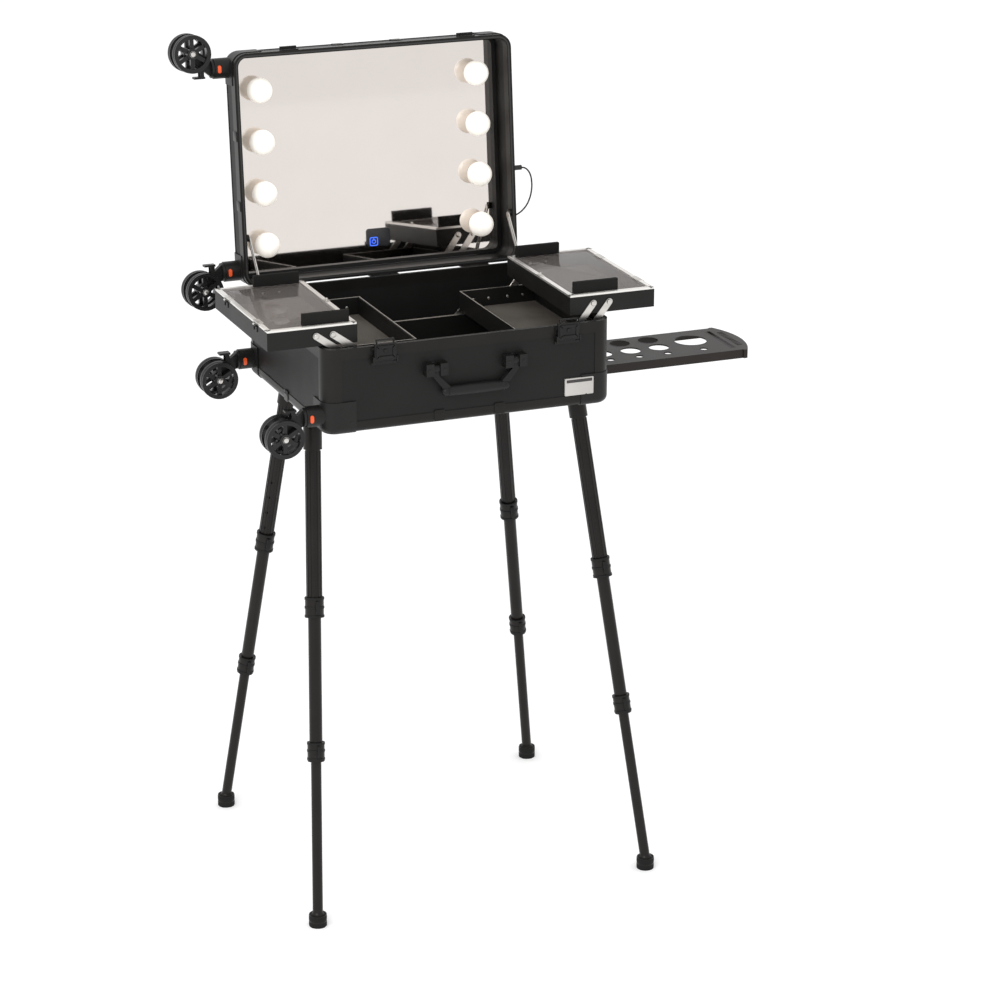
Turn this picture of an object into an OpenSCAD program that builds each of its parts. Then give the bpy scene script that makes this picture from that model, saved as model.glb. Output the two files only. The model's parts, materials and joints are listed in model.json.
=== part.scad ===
// Wheeled make-up and hair station: a trolley case that opens on four telescopic legs.
// The lid carries a mirror with bulbs, and the base carries cantilever trays and a tool shelf.

/* [Case] */
// Width of the case
case_w = 580; // [560:1:620]
// Depth of the case from its latches to its hinges
case_d = 458; // [450:1:490]
// Height of the base
base_h = 165; // [160:1:190]
// Depth of the lid
lid_h = 75; // [74:1:90]
// Rounding of the case's upright edges
corner_r = 27; // [22:0.5:32]
// Rounding of the base's bottom edges
base_edge_r = 12; // [6:0.5:16]
// Rounding of the lid's back edges
lid_edge_r = 24; // [10:0.5:26]
// Thickness of the case's walls
wall_t = 8; // [6:0.5:9]
// How far the edge extrusions stand proud of the panels
frame_proud = 1.2; // [0.6:0.1:2]
// Width of the edge extrusions
frame_band = 22; // [16:0.5:24]
// Thickness of the corner guards
guard_t = 1.6; // [1:0.1:2.5]
// Length of a corner guard along each edge
guard_span = 62; // [50:1:70]
// Distance from each caster to the ends of the case
caster_inset = 29; // [27:0.5:40]
// Distance from the casters to the outer face of the base and of the lid
caster_rise = 33; // [32.5:0.5:36]

/* [Lid] */
// How far the open lid leans back from upright, in degrees
lid_lean = 5.5; // [0:0.1:15]
// Distance from the case's back face to the hinge pin
hinge_out = 4.4; // [4:0.1:6]
// Depth of the mirror behind the lid's rim
mirror_depth = 64; // [60:0.5:65]
// Thickness of the mirror
mirror_t = 4; // [3:0.5:5]
// Gap between the rims of the closed case
rim_gap = 0.4; // [0.2:0.1:1]
// Diameter of a bulb
bulb_d = 50; // [40:1:54]
// Distance from a column of bulbs to the side of the case
bulb_inset = 62; // [50:1:80]
// Number of bulbs in each column
bulb_count = 4; // [2:1:4]
// Distance between two bulbs of a column
bulb_pitch = 102; // [80:1:106]
// Height of the lowest bulb above the lid's hinge edge
bulb_first = 74; // [60:1:90]
// Height of the touch switch above the lid's hinge edge
switch_rise = 64; // [50:1:150]

/* [Trays] */
// Length of the trays from front to back
tray_d = 314; // [280:1:316]
// Gap between the trays' front and the base's front wall
tray_front_gap = 16; // [14:0.5:24]
// Height of a tray with its lid
tray_h = 39; // [34:0.5:40]
// Width of an upper tray
upper_w = 176; // [160:1:177]
// Width of a lower tray
lower_w = 165; // [152:1:168]
// Wall thickness of a tray
tray_t = 4; // [3:0.25:5]
// Thickness of a tray's lid frame
tray_rim_h = 4; // [3:0.5:6]
// Width of a tray's lid frame
tray_rim_w = 9; // [7:0.5:12]
// Distance between the two arms of a pair
arm_gap = 33; // [28:0.5:34]
// Width of an arm
arm_w = 13; // [10:0.5:15]
// Thickness of an arm
arm_t = 2; // [1.5:0.1:2.5]
// Length of the arms between the base and a lower tray
lower_arm = 71; // [66:0.5:72]
// Length of the arms between a lower and an upper tray
upper_arm = 79; // [74:0.5:79]
// Angles of the open lower arms above level, left and right
lower_arm_open = [57.5, 43.5];
// Angles of the open upper arms above level, left and right
upper_arm_open = [35.5, 52];
// Height of the partition that carries the rear arms
partition_h = 104; // [90:1:104]

/* [Tool shelf] */
// Width of the shelf from front to back
shelf_w = 160; // [140:1:176]
// Thickness of the shelf
shelf_t = 18; // [12:0.5:19]
// How far the shelf is pulled out of the case
shelf_out = 382; // [370:1:384]
// Length of shelf that stays inside the case
shelf_hold = 90; // [60:1:110]
// Distance from the case's centre line to the shelf's, towards the front
shelf_shift = 9; // [0:1:12]
// Diameter of the large tool hole
hole_large_d = 66; // [50:1:68]
// Diameter of the medium tool holes
hole_medium_d = 41; // [30:1:44]
// Diameter of the small tool holes
hole_small_d = 16; // [8:1:20]
// Distance between the columns of tool holes
hole_pitch = 62; // [56:1:64]

/* [Legs] */
// Height of the case's underside above the floor
leg_h = 960; // [900:1:1000]
// Places of the front and rear legs under the base, from its centre
leg_top = [[270, -98], [220, 177]];
// Places of the front and rear feet on the floor, from the base's centre
leg_foot = [[348, -311], [342, 295]];
// Outer diameter of the upper tube
upper_tube_d = 29; // [28:0.5:30]
// Outer diameter of the middle tube
middle_tube_d = 25; // [24:0.5:25.5]
// Outer diameter of the lower tube
lower_tube_d = 20; // [18:0.5:21]
// Diameter of a rubber foot
foot_d = 34; // [28:1:40]

/* [Casters] */
// Diameter of a caster's wheels
wheel_d = 74; // [66:1:76]
// Width of one wheel
wheel_w = 15; // [12:0.5:16]
// Distance from the case's side to the wheels' axle
axle_out = 75; // [72:0.5:80]
// Distance from the swivel's axis to the wheels' axle
caster_trail = 33; // [26:0.5:36]

/* [Handles and latches] */
// Length of a carry handle between its pivots
handle_w = 160; // [140:1:180]
// Distance from a handle's pivots to its grip
handle_drop = 46; // [40:1:50]
// Diameter of a handle's grip
grip_d = 18; // [14:0.5:20]
// Distances of the left and the right latch from their sides of the case
latch_in = [117, 93];
// Width of a latch
latch_w = 50; // [36:1:56]
// Places of the hinges, from the middle of the back
hinge_x = [-195, 0, 195];
// Length of a hinge
hinge_w = 60; // [45:1:80]

/* [Hidden] */
$fn = 48;
eps = 0.01;
clear = 0.3;        // gap between pieces that pass each other
run = 0.06;         // radial clearance of a running fit
slide_fit = 0.1;    // radial clearance between the tubes of a leg

// Base
inner_w = case_w - 2 * wall_t - 2;
inner_d = case_d - 2 * wall_t;
panel_in = frame_proud;
rubber_in = 60;                     // rubber feet, from the guards' share of the side
rubber_z = 36;
rubber_r = [13, 11];
rubber_h = 15;
floor_t = 10;                       // bottom panel
shelf_z = floor_t + clear;          // underside of the shelf
deck_z = shelf_z + shelf_t + clear;  // underside of the false floor
deck_t = 3;
deck_top = deck_z + deck_t;

// Lid: the hinge pin lies where the open and the closed rim meet
lid_swing = 90 + lid_lean;
hinge_drop = hinge_out / tan(lid_swing / 2);
hinge_y = case_d / 2 + hinge_out;
hinge_z = base_h - hinge_drop;
mirror_z = lid_h - mirror_depth - mirror_t;
mirror_w = inner_w - 10;
mirror_d = inner_d - 10;
bulb_z = mirror_z + mirror_t + bulb_d / 2 + 1;

// Trays, whose rear faces lie over the partition
tray_front = -inner_d / 2 + tray_front_gap;
tray_back = tray_front + tray_d;
partition_t = 6;
box_h = tray_h - tray_rim_h;
pivot_up = 20;                      // pivots above a tray's underside
pivot_inset = 185.5;                // a lower pair's pivots in the base, from the case's side
pivot_drop = 82;                    // and under its rim
base_pivot_x = case_w / 2 - pivot_inset;
base_pivot_z = base_h - pivot_drop;
lower_pivot = 44.5;                 // the same on a lower tray, from its inner edge
pair_pitch = 73.5;                  // from the lower pair on a lower tray to the upper one
lower_pivot_2 = lower_pivot + pair_pitch;
upper_pivot = 64.5;                   // upper pair on an upper tray
rivet_r = 3;
rivet_head_r = 5;
rivet_head_t = 1.5;
boss_r = 7;
arm_y = [tray_front - clear - arm_t, tray_back + clear];
pane_t = 2;
pad_size = [92, 9, 23];
pad_in = 12;
tray_knuckle_r = 2;
tray_knuckle_w = 9;

// Tool shelf
shelf_y = -shelf_shift;
shelf_end = case_w / 2 + shelf_out;
shelf_start = case_w / 2 - shelf_hold;
shelf_skin = 2.5;
grip_l = 30;                        // length of the rounded grip
grip_sag = 22;                      // how far the grip bows outwards
grip_over = 3;                      // how far the grip is wider than the shelf, on each side
grip_seat = 1;                          // how far the shelf's body runs into the grip
finger_slot = [8, 118];
slot_in = 42;                       // finger slot's centre, from the shelf's end
shelf_travel = shelf_out - grip_l - frame_proud - clear;  // how far the shelf slides in
channel_l = shelf_hold + shelf_travel + 6;  // depth of the channel behind the slot
big_hole_in = 102;                  // large hole's centre, from the shelf's end
big_row = 15;                       // and from the shelf's centre line
medium_in = 181;                    // first column of medium holes, from the shelf's end
medium_rows = [48, -5];             // rows of medium holes, from the shelf's centre line
small_row = -48;

// Legs
upper_tube_l = 372;
collar_l = 36;
middle_end = 652;
tube_overlap = 62;
foot_h = 20;                        // ball of a leg above the floor
foot_ball_r = 13;
ball_down = 19.5;                   // ball at the top of a leg, below the case
ball_r = 17;
plate_r = 26;
plate_t = 14;
leg_socket_l = 64;
leg_socket_r = upper_tube_d / 2 + 3.5;
pin_hole_r = 3;
pin_pitch = 33;

// Casters
socket_r = 20;
socket_l = 30;
wheel_gap = 16.6;                   // gap between the two wheels of a caster
axle_r = 4;
fork_t = 12;                        // plate between the wheels
pedal_pivot = [-8, 0, 54];
pedal_pin_r = 2;
pedal_ear_t = 1.7;
pedal_reach = 22;
pedal_l = 22;
caster_turn = [0, 0, 90, -90];      // swivel angle of each caster at rest
button_turn = [-90, -90, 0, 0];     // side of the socket that has the release button
button_size = [7, 15, 6];
button_out = 22;                    // button's centre, from the case's side

// Handles and latches
pivot_out = 11;                     // pivots in front of the panel
bracket_size = [44, 20, 24];
bracket_plate_t = 3;
handle_eye_r = 7;
handle_pin_r = 2.5;
handle_x = 7;                       // front handle's middle
handle_z = 110;
handle_eye_w = 12;
latch_x = [latch_in[0] - case_w / 2, case_w / 2 - latch_in[1]];
latch_h = 36;
latch_top = base_h - 1;
lever_h = 33;
lever_t = 5;
strike_h = 16;
strike_w = 34;
strike_t = 2;
strike_in = 2;                      // gap between a strike and the lid's rim
strike_out = 7;
latch_plate_t = 2;
latch_ear_t = 3;
latch_pin_out = 6.5;
latch_pin_down = 24;
latch_pin_r = 2;
latch_barrel_r = 4;

// Hinges
knuckle_r = hinge_out - 0.3;
knuckle_w = hinge_w / 3 - 0.4;
hinge_pin_r = 1.8;
leaf_t = 2.4;
leaf_l = 26;

// Lid stays
stay_pivot_in = [61, 13];           // pivot in the base, from the case's rear and under its rim
stay_pivot = [case_d / 2 - stay_pivot_in[0], base_h - stay_pivot_in[1]];
stay_tip_rise = 97;                 // pin on the lid, from its hinge edge
stay_tip_in = 9;                    // and behind its rim
stay_w = 12;
stay_t = 2;
stay_slot = 0.28;                   // start of the stay's slot, as a share of its length
stay_slot_r = 2.2;
stay_short = 4;                     // bar left off its tip, so that it clears the shut lid's mirror
stay_in = 6;                        // gap between the stay and the side wall

// Socket panel on the lid's right side
lead_z = (lid_h - rim_gap) / 2;
inlet_out = 4;
inlet_size = [34, 24];
inlet_hole = [27, 17];
panel_size = [1.2, 128, 2 * lead_z - 2 * frame_band - 2 * clear];
panel_rise = 125;
jack_rise = 182;
lead_rise = 84;
inlet_rise = 112;
jack_h = 4;
plug_r = 5;
plug_tip_r = 2.7;
plug_l = 26;
cord_r = 1.6;
lead_sides = 8;
// Route of the lead: out from the lid's panel, and up from its hinge edge
lead_route = [[30, 182, 0], [38, 180, 0], [45, 174, 0], [50, 164, 0], [52, 152, 0], [52, 140, 0],
    [50, 128, 0],
    [46, 116, 0], [40, 105, 0], [32, 96, 0], [22, 89, 0], [12, 85, 0], [4, 84, 0]];
switch_x = 14;
switch_size = [50, 36, 2];

// The origin is on the floor, under the middle of the part's outline
x_low = -case_w / 2 - axle_out - wheel_d / 2;
x_high = shelf_end;
y_low = leg_foot[0][1] - foot_d / 2;
y_high = case_d / 2 + 2 * hinge_out + (case_d - lid_edge_r) * sin(lid_lean)
    + (lid_h - lid_edge_r) * cos(lid_lean) + lid_edge_r + guard_t;
centre = [(x_low + x_high) / 2, (y_low + y_high) / 2];

sides = ["left", "right"];
corner_names = ["front_left", "front_right", "rear_left", "rear_right"];
caster_names = ["base_front", "base_rear", "lid_lower", "lid_upper"];

// ---- frames of reference ----

// Base frame: origin under the middle of the case, at its underside
module on_base() {
    translate([-centre[0], -centre[1], leg_h]) children();
}

// Lid frame: the lid lies on its back, open side up, with its hinge edge towards -Y
module on_lid() {
    on_base()
        translate([0, case_d / 2 + 2 * hinge_out, base_h])
            rotate([-lid_lean, 0, 0])
                translate([0, lid_h, case_d / 2])
                    rotate([90, 0, 0])
                        children();
}

// ---- shared shapes ----

module round_rect(w, d, r) {
    square([w - 2 * r, d], center = true);
    square([w, d - 2 * r], center = true);
    for (x = [-1, 1]) for (y = [-1, 1])
        translate([x * (w / 2 - r), y * (d / 2 - r)]) circle(r);
}

// Solid block with round upright edges and round bottom edges, from z = low upwards
module pan(w, d, h, rc, re, low = 0) {
    translate([0, 0, low + re]) linear_extrude(h - re) round_rect(w, d, rc);
    translate([0, 0, low]) linear_extrude(re + eps) round_rect(w - 2 * re, d - 2 * re, max(rc - re, 1));
    for (s = [-1, 1]) {
        translate([s * (w / 2 - re), 0, low + re]) rotate([90, 0, 0])
            cylinder(r = re, h = d - 2 * rc, center = true);
        translate([0, s * (d / 2 - re), low + re]) rotate([0, 90, 0])
            cylinder(r = re, h = w - 2 * rc, center = true);
    }
    for (x = [-1, 1]) for (y = [-1, 1])
        translate([x * (w / 2 - rc), y * (d / 2 - rc), low + re])
            rotate_extrude()
                intersection() {
                    union() {
                        translate([rc - re, 0]) circle(re);
                        translate([0, -re]) square([rc - re + eps, 2 * re]);
                    }
                    translate([0, -re]) square([rc, 2 * re]);
                }
}

// The same block grown outwards by o on its sides and bottom
module grown_pan(h, re, o) {
    pan(case_w + 2 * o, case_d + 2 * o, h + o, corner_r + o, re + o, low = -o);
}

module bar(size, at) {
    translate(at) cube(size, center = true);
}

// Edge extrusions of a half of the case: rim, bottom band and upright corners
module edge_frame(h, re) {
    difference() {
        grown_pan(h, re, 0);
        grown_pan(h - frame_band, re, -panel_in);
        translate([0, 0, panel_in]) linear_extrude(h) round_rect(inner_w, inner_d, corner_r - wall_t);
        bar([case_w - 2 * frame_band, case_d - 2 * frame_band, 2 * frame_band], [0, 0, 0]);
        for (a = [0, 1])
            bar([a == 0 ? case_w * 2 : case_w - 2 * frame_band - 2 * re,
                a == 0 ? case_d - 2 * frame_band - 2 * re : case_d * 2,
                h - 2 * frame_band], [0, 0, h / 2]);
    }
}

// Panels of a half of the case
module panels(h, re, floor_h) {
    difference() {
        union() {
            difference() {
                grown_pan(h, re, -panel_in);
                bar([case_w, case_d, 2 * frame_band], [0, 0, h]);
            }
            linear_extrude(panel_in + eps)
                square([case_w - 2 * frame_band, case_d - 2 * frame_band], center = true);
        }
        translate([0, 0, floor_h]) linear_extrude(h) round_rect(inner_w, inner_d, corner_r - wall_t);
    }
}

// Corner guards of a half of the case
module guards(h, re) {
    difference() {
        intersection() {
            grown_pan(h, re, guard_t);
            union() for (x = [-1, 1]) for (y = [-1, 1])
                bar([2 * guard_span, 2 * guard_span, 2 * guard_span],
                    [x * case_w / 2, y * case_d / 2, 0]);
        }
        grown_pan(h + 1, re, 0);
        bar([case_w - 2 * frame_band, case_d - 2 * frame_band, guard_span], [0, 0, 0]);
    }
}

// Rubber feet on the hinge side, for laying the closed case down
module rubber_feet() {
    for (x = [-1, 1])
        translate([x * (case_w / 2 - rubber_in - guard_span / 3), case_d / 2 - panel_in, rubber_z])
            rotate([-90, 0, 0]) cylinder(r1 = rubber_r[0], r2 = rubber_r[1], h = rubber_h + panel_in);
}

// ---- base ----

module shelf_hollow() {
    translate([case_w / 2 - channel_l, shelf_y - shelf_w / 2 - clear, shelf_z - clear])
        cube([channel_l + 20, shelf_w + 2 * clear, shelf_t + 2 * clear]);
}

module base_shell() {
    color("#2f2e2c") on_base() {
        difference() {
            panels(base_h, base_edge_r, floor_t);
            shelf_hollow();
        }
        // False floor and the rails that guide the shelf
        difference() {
            union() {
                translate([0, 0, deck_z])
                    linear_extrude(deck_t) round_rect(inner_w, inner_d, corner_r - wall_t);
                for (s = [-1, 1])
                    translate([inner_w / 2 - channel_l, shelf_y + s * (shelf_w / 2 + clear + 4) - 4,
                        floor_t - eps])
                        cube([channel_l - 1, 8, deck_z - floor_t + 2 * eps]);
            }
            shelf_hollow();
        }
    }
}

module base_frame() {
    color("#3a3936") on_base() difference() {
        edge_frame(base_h, base_edge_r);
        shelf_hollow();
    }
}

module base_corners() {
    color("#262523") on_base() {
        difference() {
            union() {
                guards(base_h, base_edge_r);
                for (i = [0, 1]) at_caster(i) caster_socket(i);
            }
            grown_pan(base_h, base_edge_r, 0);
            for (i = [0, 1]) at_caster(i) button_pocket(i);
        }
        rubber_feet();
    }
}

module partition() {
    color("#242321") on_base() {
        translate([-inner_w / 2, tray_back - partition_t, deck_top])
            cube([inner_w, partition_t, partition_h - deck_top]);
        for (s = [0, 1]) for (k = [-1, 1])
            translate([side_sign(s) * (base_pivot_x + k * arm_gap / 2), tray_back, base_pivot_z])
                rotate([-90, 0, 0]) rivet();
    }
}

// Rivet that stands on a wall at z = 0 and carries an arm
module rivet() {
    translate([0, 0, -eps]) cylinder(r = rivet_r, h = 2 * clear + arm_t + eps);
    translate([0, 0, 2 * clear + arm_t - eps]) cylinder(r = rivet_head_r, h = rivet_head_t);
}

module base_fittings() {
    color("#1f1e1d") on_base() {
        translate([handle_x, panel_in - case_d / 2, handle_z]) handle_brackets();
        rotate([0, 0, 90]) translate([0, panel_in - case_w / 2, handle_z]) handle_brackets();
        for (x = latch_x) translate([x, -case_d / 2, latch_top]) latch_base();
        for (x = hinge_x) translate([x, hinge_y, hinge_z]) base_leaf();
        for (s = [-1, 1]) stay_boss(s);
        for (s = [0, 1]) for (k = [-1, 1])
            translate([side_sign(s) * (base_pivot_x + k * arm_gap / 2), -inner_d / 2, base_pivot_z])
                rotate([-90, 0, 0]) {
                    cylinder(r = boss_r, h = tray_front_gap - arm_t - 2 * clear);
                    cylinder(r = rivet_r, h = tray_front_gap - clear);
                }
    }
}

// Bracket pair of a carry handle, on a panel that faces -Y at y = 0
module handle_brackets() {
    for (s = [-1, 1]) translate([s * handle_w / 2, 0, 0]) {
        difference() {
            bar(bracket_size, [0, -bracket_size[1] / 2, 0]);
            bar([handle_eye_w + 2 * clear, bracket_size[1], bracket_size[2] + 2],
                [0, -bracket_size[1] / 2 - bracket_plate_t, 0]);
        }
        translate([-handle_eye_w, -pivot_out, 0]) rotate([0, 90, 0])
            cylinder(r = handle_pin_r, h = 2 * handle_eye_w);
    }
}

module latch_base() {
    bar([latch_w, latch_plate_t, latch_h], [0, -latch_plate_t / 2, -latch_h / 2]);
    for (s = [-1, 1])
        bar([latch_ear_t, latch_pin_out + 5, 12],
            [s * (latch_w - latch_ear_t) / 2, -(latch_pin_out + 5) / 2, -latch_pin_down]);
    translate([-latch_w / 2, -latch_pin_out, -latch_pin_down]) rotate([0, 90, 0])
        cylinder(r = latch_pin_r, h = latch_w);
}

// Leaf of a hinge on the base, seen from the hinge's pin
module base_leaf() {
    bar([hinge_w, leaf_t, leaf_l], [0, leaf_t / 2 - hinge_out, -knuckle_r - leaf_l / 2]);
    for (s = [-1, 1]) translate([s * hinge_w / 3, 0, 0]) {
        bar([knuckle_w, leaf_t, knuckle_r + 1], [0, leaf_t / 2 - hinge_out, -(knuckle_r + 1) / 2]);
        rotate([0, 90, 0]) cylinder(r = knuckle_r, h = knuckle_w, center = true);
    }
    rotate([0, 90, 0]) cylinder(r = hinge_pin_r, h = hinge_w, center = true);
}

// Boss on the side wall that carries a lid stay
module stay_boss(s) {
    translate([s * inner_w / 2, stay_pivot[0], stay_pivot[1]]) rotate([0, -s * 90, 0]) {
        cylinder(r = 9, h = stay_in - clear);
        cylinder(r = rivet_r, h = stay_in + stay_t + clear);
        translate([0, 0, stay_in + stay_t + clear]) cylinder(r = rivet_head_r, h = rivet_head_t);
    }
}

// ---- lid ----

module lid_shell() {
    color("#312f2d") on_lid() panels(lid_h - rim_gap, lid_edge_r, mirror_z);
}

module lid_frame() {
    color("#3a3936") on_lid() edge_frame(lid_h - rim_gap, lid_edge_r);
}

module lid_corners() {
    color("#262523") on_lid() {
        difference() {
            union() {
                guards(lid_h - rim_gap, lid_edge_r);
                for (i = [2, 3]) at_caster(i) caster_socket(i);
            }
            grown_pan(lid_h, lid_edge_r, 0);
            for (i = [2, 3]) at_caster(i) button_pocket(i);
        }
        mirror([0, 1, 0]) rubber_feet();
    }
}

module lid_fittings() {
    color("#1f1e1d") {
        on_lid() for (x = latch_x) translate([x, case_d / 2, lid_h]) strike();
        on_lid() for (s = [-1, 1])
            translate([s * inner_w / 2, stay_tip_rise - case_d / 2, lid_h - stay_tip_in])
                rotate([0, -s * 90, 0]) cylinder(r = 7, h = stay_in - clear);
        on_base() for (x = hinge_x) translate([x, hinge_y, hinge_z]) rotate([-lid_lean, 0, 0]) lid_leaf();
    }
}

// Plate that a latch hooks, on the lid's front edge
module strike() {
    bar([strike_w, strike_t, strike_h], [0, strike_t / 2, -strike_h / 2 - strike_in]);
    bar([strike_w, strike_out, 3], [0, strike_out / 2, 1.5 - strike_in - strike_h]);
}

// Leaf of a hinge on the lid, seen from the hinge's pin
module lid_leaf() {
    bar([hinge_w, leaf_l, leaf_t], [0, knuckle_r + leaf_l / 2, hinge_out - leaf_t / 2]);
    difference() {
        union() {
            bar([knuckle_w, knuckle_r + 1, leaf_t], [0, (knuckle_r + 1) / 2, hinge_out - leaf_t / 2]);
            rotate([0, 90, 0]) cylinder(r = knuckle_r, h = knuckle_w, center = true);
        }
        rotate([0, 90, 0]) cylinder(r = hinge_pin_r + run, h = hinge_w, center = true);
    }
}

module mirror_glass() {
    color("#dcd7d0") on_lid() translate([0, 0, mirror_z])
        linear_extrude(mirror_t) round_rect(mirror_w, mirror_d, corner_r - wall_t - 5);
}

module bulbs() {
    color("#fff7e6") on_lid() for (s = [-1, 1]) for (k = [0 : bulb_count - 1])
        translate([s * (case_w / 2 - bulb_inset), bulb_first + k * bulb_pitch - case_d / 2, 0]) {
            translate([0, 0, bulb_z]) sphere(d = bulb_d);
            translate([0, 0, mirror_z + mirror_t]) cylinder(d = bulb_d / 2, h = bulb_d / 4);
        }
}

// Touch switch on the mirror, and the socket panel on the lid's right side
module lid_electrics() {
    color("#1b1c20") on_lid() {
        translate([switch_x, switch_rise - case_d / 2, mirror_z + mirror_t])
            linear_extrude(switch_size[2]) round_rect(switch_size[0], switch_size[1], 6);
        translate([case_w / 2 - panel_in, 0, lead_z]) {
            bar(panel_size, [panel_size[0] / 2, panel_rise - case_d / 2, 0]);
            // Mains inlet
            difference() {
                bar([inlet_out, inlet_size[0], inlet_size[1]], [inlet_out / 2, inlet_rise - case_d / 2, 0]);
                bar([inlet_out, inlet_hole[0], inlet_hole[1]],
                    [panel_size[0] + inlet_out / 2, inlet_rise - case_d / 2, 0]);
            }
            // Jack for the lead
            translate([0, jack_rise - case_d / 2, 0]) rotate([0, 90, 0]) difference() {
                cylinder(r = plug_r + 3, h = jack_h);
                translate([0, 0, panel_size[0]]) cylinder(r = plug_tip_r + run, h = jack_h);
            }
            // Gland that the lead goes back into
            translate([0, lead_rise - case_d / 2, 0]) rotate([0, 90, 0]) cylinder(r = plug_r, h = jack_h);
        }
    }
}

// Ring of the lead's tube around a point of its route, square to its run
function lead_dir(k) =
    let (a = lead_route[max(k - 1, 0)], b = lead_route[min(k + 1, len(lead_route) - 1)])
    (b - a) / norm(b - a);
function lead_ring(k) =
    let (t = lead_dir(k), side = [t[1], -t[0], 0])
    [for (j = [0 : lead_sides - 1])
        let (a = 360 * j / lead_sides)
        [lead_route[k][0], lead_route[k][1], 0] + cord_r * (cos(a) * side + [0, 0, sin(a)])];

module cord_lead() {
    n = len(lead_route);
    points = [for (k = [0 : n - 1]) each lead_ring(k)];
    faces = concat(
        [[for (j = [0 : lead_sides - 1]) j]],
        [[for (j = [lead_sides - 1 : -1 : 0]) (n - 1) * lead_sides + j]],
        [for (k = [0 : n - 2]) for (j = [0 : lead_sides - 1])
            let (a = k * lead_sides + j, b = k * lead_sides + (j + 1) % lead_sides)
            [a, a + lead_sides, b + lead_sides, b]]
    );
    color("#1c1c1c") on_lid() translate([case_w / 2 - panel_in, -case_d / 2, lead_z])
        polyhedron(points, faces);
}

module cord_plug() {
    color("#161616") on_lid()
        translate([case_w / 2 - panel_in, jack_rise - case_d / 2, lead_z]) rotate([0, 90, 0]) {
            translate([0, 0, jack_h]) cylinder(r = plug_r, h = plug_l);
            translate([0, 0, panel_size[0] + clear]) cylinder(r = plug_tip_r, h = jack_h);
        }
}

// ---- handles and latches ----

module handle() {
    grip_half = handle_w / 2 - 20;
    difference() {
        union() for (s = [-1, 1]) {
            translate([s * handle_w / 2, 0, 0]) rotate([0, 90, 0])
                cylinder(r = handle_eye_r, h = handle_eye_w, center = true);
            bar([handle_eye_w, 8, 12], [s * handle_w / 2, 0, -9]);
            hull() {
                bar([handle_eye_w, 8, 1], [s * handle_w / 2, 0, -15]);
                bar([14, 11, 4], [s * grip_half, 0, -handle_drop + grip_d / 2]);
            }
            translate([s * grip_half, 0, -handle_drop]) sphere(d = grip_d);
        }
        rotate([0, 90, 0]) cylinder(r = handle_pin_r + run, h = handle_w * 2, center = true);
    }
    translate([0, 0, -handle_drop]) rotate([0, 90, 0])
        cylinder(d = grip_d, h = 2 * grip_half, center = true);
}

module front_handle() {
    color("#222120") on_base() translate([handle_x, panel_in - case_d / 2 - pivot_out, handle_z]) handle();
}

module side_handle() {
    color("#222120") on_base() rotate([0, 0, 90])
        translate([0, panel_in - case_w / 2 - pivot_out, handle_z]) handle();
}

module latch(x) {
    lever_w = latch_w - 2 * latch_ear_t - 2 * clear;
    color("#1d1c1b") on_base()
        translate([x, -case_d / 2 - latch_pin_out, latch_top - latch_pin_down]) difference() {
            union() {
                bar([lever_w, lever_t, lever_h], [0, -lever_t / 2 + 1, lever_h / 2 - 2]);
                rotate([0, 90, 0]) cylinder(r = latch_barrel_r, h = lever_w, center = true);
            }
            rotate([0, 90, 0]) cylinder(r = latch_pin_r + run, h = latch_w, center = true);
        }
}

// ---- lid stays ----

// Bar from the pivot on the base towards the pin on the lid
stay_tip = [
    case_d / 2 + 2 * hinge_out + stay_tip_rise * sin(lid_lean) + stay_tip_in * cos(lid_lean),
    base_h + stay_tip_rise * cos(lid_lean) - stay_tip_in * sin(lid_lean)
];
stay_run = stay_tip - stay_pivot;

module lid_stay(s) {
    length = norm(stay_run) - stay_short;
    color("#b9b9b6") on_base()
        translate([s * (inner_w / 2 - stay_in), stay_pivot[0], stay_pivot[1]])
            rotate([atan2(stay_run[1], stay_run[0]), 0, 0])
                rotate([0, -s * 90, 0]) difference() {
                    linear_extrude(stay_t) {
                        circle(d = stay_w);
                        translate([-stay_w / 2, 0]) square([stay_w, length]);
                        translate([0, length]) circle(d = stay_w);
                    }
                    translate([0, 0, -1]) cylinder(r = rivet_r + run, h = stay_t + 2);
                    // Slot for the lid's pin
                    translate([0, stay_slot * length, -1]) linear_extrude(stay_t + 2) {
                        circle(r = stay_slot_r);
                        translate([-stay_slot_r, 0])
                            square([2 * stay_slot_r, (0.96 - stay_slot) * length]);
                        translate([0, (0.96 - stay_slot) * length]) circle(r = stay_slot_r);
                    }
                }
}

// ---- trays ----

function side_sign(s) = s == 0 ? -1 : 1;

// Inner edge and underside of the open trays, with x measured outwards
function lower_tray_at(s) = [
    base_pivot_x + lower_arm * cos(lower_arm_open[s]) - lower_pivot,
    base_pivot_z + lower_arm * sin(lower_arm_open[s]) - pivot_up
];
function upper_tray_at(s) = lower_tray_at(s) + [
    lower_pivot_2 + upper_arm * cos(upper_arm_open[s]) - upper_pivot,
    upper_arm * sin(upper_arm_open[s])
];

// Moves a shape to a tray's inner front corner, with x outwards
module at_tray(s, at) {
    on_base() mirror([1 - s, 0, 0]) translate([at[0], tray_front, at[1]]) children();
}

module tray_box(w, h, pivots) {
    difference() {
        cube([w, tray_d, h]);
        translate([tray_t, tray_t, tray_t]) cube([w - 2 * tray_t, tray_d - 2 * tray_t, h]);
    }
    for (p = pivots) for (k = [-1, 1]) {
        translate([p + k * arm_gap / 2, 0, pivot_up]) rotate([90, 0, 0]) rivet();
        translate([p + k * arm_gap / 2, tray_d, pivot_up]) rotate([-90, 0, 0]) rivet();
    }
}

module lower_tray(s) {
    color("#2c2b29") at_tray(s, lower_tray_at(s)) tray_box(lower_w, tray_h, [lower_pivot, lower_pivot_2]);
}

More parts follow.
